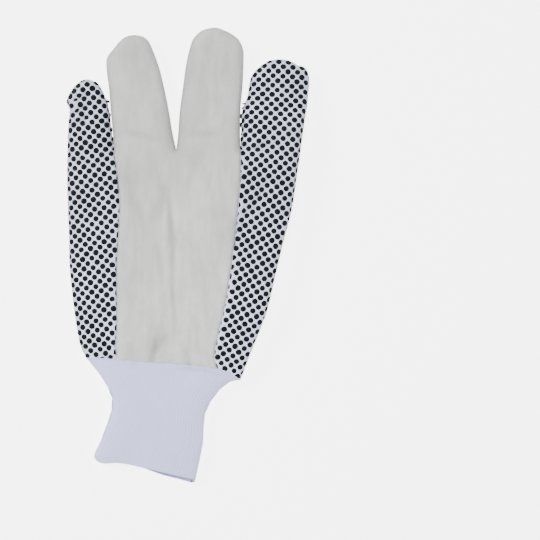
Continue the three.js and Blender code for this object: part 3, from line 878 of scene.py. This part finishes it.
class GLOVE_OT_cuff(bpy.types.Operator):
    """Knit the ribbed cuff"""

    bl_idname = "glove.cuff"
    bl_label = "Knitted cuff"

    def execute(self, context):
        sizes = context.scene.glove_sizes
        skin = cloth_skin(sizes)
        rows, across = CUFF_GRID
        ribs = int(CUFF_WIDTH / (sizes.rib_pitch / MM))
        depth = sizes.rib_depth / MM
        wall = sizes.knit_thickness / MM
        sine = np.sin(np.pi * (np.arange(across + 1) / across - 0.5))
        shares = mix(np.linspace(-1, 1, across + 1), sine, 0.6)
        round_trip = [(1, share) for share in shares[:-1]] + [(-1, share) for share in shares[:0:-1]]
        plan = []
        for row in range(rows + 1):
            along = mix(-CUFF_TUCK, 1, row / rows)
            for layer, share in round_trip:
                x, y = cuff_point(along, share)
                if layer < 0:
                    y -= CUFF_LIP * float(smooth((along - 0.75) * 4) * smooth((share + 0.35) * 1.2))
                plan.append((x, y, layer, share, along))
        x, y, layer, share, along = np.array(plan).T
        middle_x = cuff_middle(along)
        top = skin.plain_top(x, y)
        low = skin.bottom(x, y)
        tuck = (sizes.canvas_thickness / MM + 0.1) * (1 - smooth(along / 0.02))
        end = smooth((along - 0.965) / 0.035)
        half = np.maximum((top - low) / 2 - tuck - CUFF_END_ROUND * end, 0.0)
        wave = depth * np.cos(np.pi * share * ribs) * smooth(half / 2.0) * (1 - end)
        soft = (0.5 * unevenness(x, y, 15.0, 5.3) + 0.2 * unevenness(x, y, 5.0, 2.3)) * smooth(half / 4.0)
        middle = (top + low) / 2
        outer = half + wave + np.where(layer > 0, soft, 0)
        inner = np.maximum(half - wall * smooth(half / 1.2), half * 0.15)
        shrink = 1 - wall / (CUFF_WIDTH / 2)
        outer_points = place(x, y, np.maximum(middle + layer * outer, 0.05))
        inner_points = place(middle_x + (x - middle_x) * shrink, y, np.maximum(middle + layer * inner, 0.3))
        ring = len(round_trip)
        inside_start = len(outer_points)
        faces = []
        for row in range(rows):
            for i in range(ring):
                j = (i + 1) % ring
                a, b, c, d = row * ring + i, (row + 1) * ring + i, (row + 1) * ring + j, row * ring + j
                faces.append((a, b, c, d))
                faces.append(tuple(inside_start + k for k in (d, c, b, a)))
        for i in range(ring):
            j = (i + 1) % ring
            faces.append((i, j, inside_start + j, inside_start + i))
            k, m = rows * ring + i, rows * ring + j
            faces.append((m, k, inside_start + k, inside_start + m))
        item = mesh_object("cuff_knit", np.vstack([outer_points, inner_points]), faces, weld=0)
        # Painted shade: a little darker on the outside at the cuff's open end, much darker on its inner wall
        # towards the mouth
        mark_shade(item, np.concatenate([end * 0.15, smooth((along - 0.9) / 0.1) * 0.9]))
        coords = np.stack([np.where(layer > 0, share * ribs / 2, ribs - share * ribs / 2), along * 40], 1)
        coords = np.vstack([coords, coords])
        corners = np.empty(len(item.data.loops), int)
        item.data.loops.foreach_get("vertex_index", corners)
        item.data.uv_layers.new(name="knit").data.foreach_set("uv", coords[corners].ravel())
        item.data.materials.append(knit_finish("rib_knit", context.scene.glove_colours.knit))
        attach(item, "root")
        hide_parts("knit_cuff")
        return {"FINISHED"}


def dot_tree():
    """Geometry Nodes that set one low dome on each point, square to the cloth."""
    tree = bpy.data.node_groups.new("Raised dots", "GeometryNodeTree")
    face = tree.interface
    face.new_socket("Geometry", in_out="INPUT", socket_type="NodeSocketGeometry")
    for name in ("Diameter", "Height"):
        face.new_socket(name, in_out="INPUT", socket_type="NodeSocketFloat")
    face.new_socket("Material", in_out="INPUT", socket_type="NodeSocketMaterial")
    face.new_socket("Geometry", in_out="OUTPUT", socket_type="NodeSocketGeometry")
    nodes, links = tree.nodes, tree.links
    start, end = nodes.new("NodeGroupInput"), nodes.new("NodeGroupOutput")
    ball = nodes.new("GeometryNodeMeshUVSphere")
    ball.inputs["Segments"].default_value = 10
    ball.inputs["Rings"].default_value = 6
    ball.inputs["Radius"].default_value = 0.5
    flat = nodes.new("ShaderNodeCombineXYZ")
    for axis in ("X", "Y"):
        links.new(start.outputs["Diameter"], flat.inputs[axis])
    double = nodes.new("ShaderNodeMath")
    double.operation = "MULTIPLY"
    double.inputs[1].default_value = 2.0
    links.new(start.outputs["Height"], double.inputs[0])
    links.new(double.outputs[0], flat.inputs["Z"])
    upper = nodes.new("GeometryNodeDeleteGeometry")
    upper.domain = "POINT"
    position = nodes.new("GeometryNodeInputPosition")
    split = nodes.new("ShaderNodeSeparateXYZ")
    below = nodes.new("FunctionNodeCompare")
    below.operation = "LESS_THAN"
    below.inputs["B"].default_value = -0.1
    links.new(position.outputs[0], split.inputs[0])
    links.new(split.outputs["Z"], below.inputs["A"])
    links.new(ball.outputs["Mesh"], upper.inputs["Geometry"])
    links.new(below.outputs[0], upper.inputs["Selection"])
    shape = nodes.new("GeometryNodeTransform")
    links.new(upper.outputs[0], shape.inputs["Geometry"])
    links.new(flat.outputs[0], shape.inputs["Scale"])
    facing = nodes.new("GeometryNodeInputNamedAttribute")
    facing.data_type = "FLOAT_VECTOR"
    facing.inputs["Name"].default_value = "facing"
    turn = nodes.new("FunctionNodeAlignRotationToVector")
    turn.axis = "Z"
    links.new(facing.outputs["Attribute"], turn.inputs["Vector"])
    size = nodes.new("FunctionNodeRandomValue")
    size.data_type = "FLOAT"
    size.inputs[2].default_value = 0.93
    size.inputs[3].default_value = 1.05
    size.inputs["Seed"].default_value = 7
    put = nodes.new("GeometryNodeInstanceOnPoints")
    links.new(start.outputs["Geometry"], put.inputs["Points"])
    links.new(shape.outputs[0], put.inputs["Instance"])
    links.new(turn.outputs[0], put.inputs["Rotation"])
    links.new(size.outputs[1], put.inputs["Scale"])
    real = nodes.new("GeometryNodeRealizeInstances")
    smooth_faces = nodes.new("GeometryNodeSetShadeSmooth")
    paint = nodes.new("GeometryNodeSetMaterial")
    links.new(put.outputs[0], real.inputs[0])
    links.new(real.outputs[0], smooth_faces.inputs[0])
    links.new(smooth_faces.outputs[0], paint.inputs["Geometry"])
    links.new(start.outputs["Material"], paint.inputs["Material"])
    links.new(paint.outputs[0], end.inputs[0])
    return tree


def set_dots(name, points, normals, sizes, material):
    """Set a dot at each point. The steeper the cloth is, the deeper its dots are pressed into it."""
    points = points - normals * (DOT_SINK + STEEP_DOT_SINK * (1 - np.abs(normals[:, 2:]))) * MM
    mesh = bpy.data.meshes.new(name)
    mesh.from_pydata([tuple(p) for p in points], [], [])
    facing = mesh.attributes.new("facing", "FLOAT_VECTOR", "POINT")
    facing.data.foreach_set("vector", np.asarray(normals, np.float32).ravel())
    item = bpy.data.objects.new(name, mesh)
    bpy.context.scene.collection.objects.link(item)
    tree = bpy.data.node_groups.get("Raised dots") or dot_tree()
    modifier = item.modifiers.new("Dots", "NODES")
    modifier.node_group = tree
    keys = {s.name: s.identifier for s in tree.interface.items_tree if s.in_out == "INPUT"}
    modifier[keys["Diameter"]] = sizes.dot_diameter
    modifier[keys["Height"]] = sizes.dot_height
    modifier[keys["Material"]] = material
    depsgraph = bpy.context.evaluated_depsgraph_get()
    made = bpy.data.meshes.new_from_object(item.evaluated_get(depsgraph))
    item.modifiers.clear()
    item.data = made
    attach(item, "root")
    return item


def bent_lattice(start, turns, length, half_width, pitch):
    """Rows of dots on the diagonal, along a line that turns as the cloth does."""
    step = 0.5
    count = int(length / step)
    share = np.arange(-40, count) * step / length
    angle = np.radians(at(turns, np.clip(share, 0, 2)))
    line = np.cumsum(np.stack([-np.sin(angle), np.cos(angle)], 1) * step, 0)
    line += np.array(start) - line[40]
    along_line = np.arange(-40, count) * step
    half = pitch / math.sqrt(2)
    found = []
    for a in range(-int(20 / half), int(length / half) + 1):
        for b in range(-int(half_width / half), int(half_width / half) + 1):
            if (a + b) % 2:
                continue
            s = a * half
            x = np.interp(s, along_line, line[:, 0])
            y = np.interp(s, along_line, line[:, 1])
            t = np.interp(s, along_line, angle)
            found.append((x + b * half * math.cos(t), y + b * half * math.sin(t)))
    return np.array(found)


def branch(line, y):
    """Where a line that only climbs crosses each height."""
    order = np.argsort(line[:, 1])
    return np.interp(y, line[order, 1], line[order, 0])


def roll_out(points, left, right, first, second, reach):
    """Lay a flat lattice on the first layer, and on round its edges to the second.

    Returns x, y, whether each point lies on the second layer, and which to keep."""
    x, y = points[:, 0], points[:, 1]
    centre = (branch(left, y) + branch(right, y)) / 2
    edge = np.where(x > centre, branch(right, y), branch(left, y))
    target = np.abs(x - centre)
    steps = np.sin(np.linspace(0, np.pi / 2, 48))
    xs = centre[:, None] + (edge - centre)[:, None] * steps[None]
    ys = np.repeat(y[:, None], len(steps), 1)
    z1 = first(xs.ravel(), ys.ravel()).reshape(xs.shape)
    z2 = second(xs.ravel(), ys.ravel()).reshape(xs.shape)[:, ::-1]
    path_x = np.concatenate([xs, xs[:, ::-1]], 1)
    path_z = np.concatenate([z1, z2], 1)
    run = np.hypot(np.diff(path_x, axis=1), np.diff(path_z, axis=1))
    arc = np.concatenate([np.zeros((len(x), 1)), np.cumsum(run, 1)], 1)
    found_x = np.array([np.interp(t, a, p) for t, a, p in zip(target, arc, path_x)])
    turn = arc[:, len(steps) - 1] + 0.5 * (arc[:, len(steps)] - arc[:, len(steps) - 1])
    behind = target > turn
    keep = target < turn + reach
    return found_x, y, behind, keep


def facing(height, x, y, way):
    step = 0.25
    dx = (height(x + step, y) - height(x - step, y)) / (2 * step)
    dy = (height(x, y + step) - height(x, y - step)) / (2 * step)
    steep = np.maximum(np.hypot(dx, dy) / 5.0, 1.0)
    normal = np.stack([-dx / steep, -dy / steep, np.ones_like(dx)], 1) * way
    return normal / np.linalg.norm(normal, axis=1)[:, None]


def pull_in(loop, x, y, reach):
    """Draw points that lie outside a loop back to within a reach of it."""
    step = 0.05
    away = np.where(inside(loop, x, y), 0.0, distance_to(loop, x, y) - reach)
    far = np.flatnonzero(away > 0)
    fx, fy = x[far], y[far]
    slope_x = (distance_to(loop, fx + step, fy) - distance_to(loop, fx - step, fy)) / (2 * step)
    slope_y = (distance_to(loop, fx, fy + step) - distance_to(loop, fx, fy - step)) / (2 * step)
    x, y = x.copy(), y.copy()
    x[far] -= away[far] * slope_x
    y[far] -= away[far] * slope_y
    return x, y


def trim_dots(item, skin, outline):
    """Cut dots short where they run into a seam or past the rim, and flatten them on the floor."""
    flat = np.empty(len(item.data.vertices) * 3)
    item.data.vertices.foreach_get("co", flat)
    x, y, z = flat.reshape(-1, 3).T / MM
    x, y = x - SHIFT_X, y - SHIFT_Y
    upper = (y < HAND_LENGTH) & (z > skin.edge(x, y))
    left, right = branch(LEFT_SEAM, y) - SEAM_MARGIN, branch(RIGHT_SEAM, y) + SEAM_MARGIN
    x = np.where(upper & (x < WRIST_OFFSET), np.minimum(x, left), x)
    x = np.where(upper & (x > WRIST_OFFSET), np.maximum(x, right), x)
    x, y = pull_in(outline, x, y, RIM_MARGIN)
    y = np.maximum(y, wrist_line(x) + WRIST_MARGIN)
    item.data.vertices.foreach_set("co", place(x, y, np.maximum(z, 0.0)).ravel())
    item.data.update()


def thin_out(points, others, gap):
    """Leave out points nearer than a gap to others."""
    if not len(others):
        return np.ones(len(points), bool)
    keep = np.ones(len(points), bool)
    for i in range(0, len(points), 500):
        away = np.linalg.norm(points[i:i + 500, None] - others[None], axis=2)
        keep[i:i + 500] = away.min(1) > gap
    return keep


def strip_dots(skin, pitch):
    """Dots of the two side strips, which go on round the edge to the palm side."""
    places, normals = [], []
    little_cut = int(np.argmax(LITTLE_SIDE[:, 1]))
    index_cut = int(np.argmax(INDEX_SIDE[:, 1]))
    little_right = np.vstack([LEFT_SEAM[:-1], LITTLE_SIDE[little_cut:][::-1]])
    index_left = np.vstack([RIGHT_SEAM[:-1], INDEX_SIDE[:index_cut + 1]])
    strips = ((LITTLE_SIDE[:little_cut + 1], little_right, LEFT_TURN, LITTLE_SIDE[little_cut][1], -1),
              (index_left, INDEX_SIDE[index_cut:][::-1], RIGHT_TURN, INDEX_SIDE[index_cut][1], 1))
    for left, right, turns, tip, way in strips:
        base = (left[0] + right[0]) / 2
        flat = bent_lattice(base, turns, HAND_LENGTH + HAND_SPARE, STRIP_SPREAD, pitch)
        low = wrist_line(flat[:, 0]) + LATTICE_START
        flat = flat[(flat[:, 1] > low) & (flat[:, 1] < tip - TIP_MARGIN)]
        x, y, behind, keep = roll_out(flat, left, right, skin.plain_top, skin.bottom, STRIP_WRAP)
        in_hand = y < HAND_LENGTH
        middle = (branch(left, y) + branch(right, y)) / 2
        if way < 0:
            beyond_seam = in_hand & (x > branch(right, y) + SEAM_OVERRUN)
            seam_side = flat[:, 0] > middle
        else:
            beyond_seam = in_hand & (x < branch(left, y) - SEAM_OVERRUN)
            seam_side = flat[:, 0] < middle
        keep &= ~beyond_seam & ~(in_hand & seam_side & behind)
        keep &= ~(in_hand & seam_side & (np.abs(flat[:, 0] - x) > SEAM_STRAY))
        x, y, under = x[keep], y[keep], behind[keep]
        over = ~under
        places.append(np.stack([x[over], y[over], skin.top(x[over], y[over])], 1))
        normals.append(facing(skin.plain_top, x[over], y[over], 1))
        places.append(np.stack([x[under], y[under], skin.bottom(x[under], y[under])], 1))
        normals.append(facing(skin.bottom, x[under], y[under], -1))
    return np.vstack(places), np.vstack(normals)


def palm_side_dots(skin, pitch, wrapped):
    """Dots of the palm side, clear of the thumb, the plain cloth and the strips' own dots."""
    turns = ((0.0, PALM_TURN), (1.0, PALM_TURN))
    flat = bent_lattice((WRIST_OFFSET, 0.0), turns, HAND_LENGTH + HAND_SPARE, PALM_SPREAD, pitch)
    x, y = flat[:, 0], flat[:, 1]
    loop = np.vstack([HAND_EDGE, [(HAND_EDGE[-1][0], wrist_line(HAND_EDGE[-1][0]))]])
    keep = inside(loop, x, y) & (y > wrist_line(x) + LATTICE_START) & ~white_bottom(x, y)
    keep &= distance_to(HAND_EDGE, x, y) > EDGE_CLEARANCE
    keep &= ~inside(THUMB_EDGE, x, y) & (distance_to(THUMB_EDGE, x, y) > THUMB_CLEARANCE)
    for one in TONGUES:
        keep &= distance_to(one, x, y) > PLAIN_CLEARANCE
    x, y = x[keep], y[keep]
    under = np.stack([x, y, skin.bottom(x, y)], 1)
    keep = thin_out(under, wrapped, pitch * NEAREST_SHARE)
    return under[keep], facing(skin.bottom, x[keep], y[keep], -1)


def dots_of_thumb(skin, pitch):
    """Dots of the thumb's lower layer, which go on round its edge to the upper one."""
    low_side = lambda x, y: thumb_heights(skin, x, y)[0]
    high_side = lambda x, y: thumb_heights(skin, x, y)[1]
    cut = int(np.argmax(THUMB_EDGE[:, 1]))
    turns = ((0.0, THUMB_TURN), (1.0, THUMB_TURN))
    flat = bent_lattice((THUMB_X, 0.0), turns, THUMB_REACH + THUMB_SPARE, THUMB_SPREAD, pitch)
    low = wrist_line(flat[:, 0]) + LATTICE_START
    flat = flat[(flat[:, 1] > low) & (flat[:, 1] < THUMB_EDGE[cut][1] - THUMB_TIP_MARGIN)]
    left, right = THUMB_EDGE[:cut + 1], THUMB_EDGE[cut:][::-1]
    x, y, behind, keep = roll_out(flat, left, right, low_side, high_side, THUMB_WRAP)
    keep &= ~(behind & (up_hand(x, y, THUMB_REACH) * THUMB_REACH < MOUTH_END + MOUTH_BLEND))
    x, y, behind = x[keep], y[keep], behind[keep]
    z = np.where(behind, high_side(x, y), low_side(x, y))
    normals = np.where(behind[:, None], facing(high_side, x, y, 1), facing(low_side, x, y, -1))
    return np.stack([x, y, z], 1), normals


class GLOVE_OT_dots(bpy.types.Operator):
    """Set the raised dots on the palm, the side strips and the thumb"""

    bl_idname = "glove.dots"
    bl_label = "Raised dots"

    def execute(self, context):
        sizes = context.scene.glove_sizes
        skin = cloth_skin(sizes)
        pitch = sizes.dot_pitch / MM
        material = dot_finish("raised_dots", context.scene.glove_colours.dots)
        wrapped, wrapped_normals = strip_dots(skin, pitch)
        under, under_normals = palm_side_dots(skin, pitch, wrapped)
        palm = np.vstack([wrapped, under]), np.vstack([wrapped_normals, under_normals])
        for name, (points, normals), outline in (("palm_dots", palm, GLOVE_EDGE),
                                                 ("thumb_dots", dots_of_thumb(skin, pitch), THUMB_EDGE)):
            item = set_dots(name, place(*points.T), normals, sizes, material)
            trim_dots(item, skin, outline)
        return {"FINISHED"}


# Framing: the picture is square and shows this much of the floor, in metres
VIEW_WIDTH = 0.3105
VIEW_CENTRE = (0.047, -0.0093)
CAMERA_HEIGHT = 1.3
SENSOR = 36.0
FLOOR_HALF = 3.0
WORLD_GLOW = 0.3
# Lights over the glove: name, place, width, power
LIGHTS = (
    ("key", (-1.1, 0.5, 1.0), 0.5, 22.0),
    ("fill", (0.9, -0.5, 1.4), 1.4, 5.0),
    ("over", (0.0, 0.1, 2.2), 0.9, 74.0),
)


class GLOVE_OT_stage(bpy.types.Operator):
    """Set the floor, lights and camera"""

    bl_idname = "glove.stage"
    bl_label = "Stage"

    def execute(self, context):
        scene = context.scene
        work = bmesh.new()
        bmesh.ops.create_grid(work, x_segments=8, y_segments=8, size=FLOOR_HALF)
        mesh = bpy.data.meshes.new("stage_floor")
        work.to_mesh(mesh)
        work.free()
        floor = bpy.data.objects.new("stage_floor", mesh)
        scene.collection.objects.link(floor)
        mesh.materials.append(stage_finish(scene.glove_colours.stage))
        for name, spot, width, power in LIGHTS:
            light = bpy.data.lights.new(name, "AREA")
            light.size = width
            light.energy = power
            lamp = bpy.data.objects.new(name, light)
            lamp.location = spot
            lamp.rotation_euler = Vector(spot).to_track_quat("Z", "Y").to_euler()
            scene.collection.objects.link(lamp)
        world = bpy.data.worlds.new("studio")
        world.use_nodes = True
        world.node_tree.nodes["Background"].inputs[0].default_value = (1.0, 1.0, 1.0, 1.0)
        world.node_tree.nodes["Background"].inputs[1].default_value = WORLD_GLOW
        scene.world = world
        lens = bpy.data.cameras.new("camera")
        lens.sensor_width = SENSOR
        lens.lens = SENSOR * CAMERA_HEIGHT / VIEW_WIDTH
        camera = bpy.data.objects.new("camera", lens)
        camera.location = (VIEW_CENTRE[0], VIEW_CENTRE[1], CAMERA_HEIGHT)
        scene.collection.objects.link(camera)
        scene.camera = camera
        return {"FINISHED"}


class GLOVE_PT_panel(bpy.types.Panel):
    """Steps that make the glove"""

    bl_idname = "GLOVE_PT_panel"
    bl_label = "Dotted work glove"
    bl_space_type = "VIEW_3D"
    bl_region_type = "UI"
    bl_category = "Glove"

    def draw(self, context):
        for group in (context.scene.glove_sizes, context.scene.glove_colours):
            for key in group.bl_rna.properties.keys():
                if key not in {"rna_type", "name"}:
                    self.layout.prop(group, key)
        for operator in OPERATORS:
            self.layout.operator(operator.bl_idname)


OPERATORS = (GLOVE_OT_stage, GLOVE_OT_panels, GLOVE_OT_thumb, GLOVE_OT_cuff, GLOVE_OT_dots)
CLASSES = (GloveSizes, GloveColours) + OPERATORS + (GLOVE_PT_panel,)


def register():
    for one in CLASSES:
        bpy.utils.register_class(one)
    bpy.types.Scene.glove_sizes = bpy.props.PointerProperty(type=GloveSizes)
    bpy.types.Scene.glove_colours = bpy.props.PointerProperty(type=GloveColours)


def unregister():
    del bpy.types.Scene.glove_sizes
    del bpy.types.Scene.glove_colours
    for one in reversed(CLASSES):
        bpy.utils.unregister_class(one)


def main():
    register()
    bpy.ops.glove.stage()
    bpy.ops.glove.panels()
    bpy.ops.glove.thumb()
    bpy.ops.glove.cuff()
    bpy.ops.glove.dots()


if __name__ == "__main__":
    main()
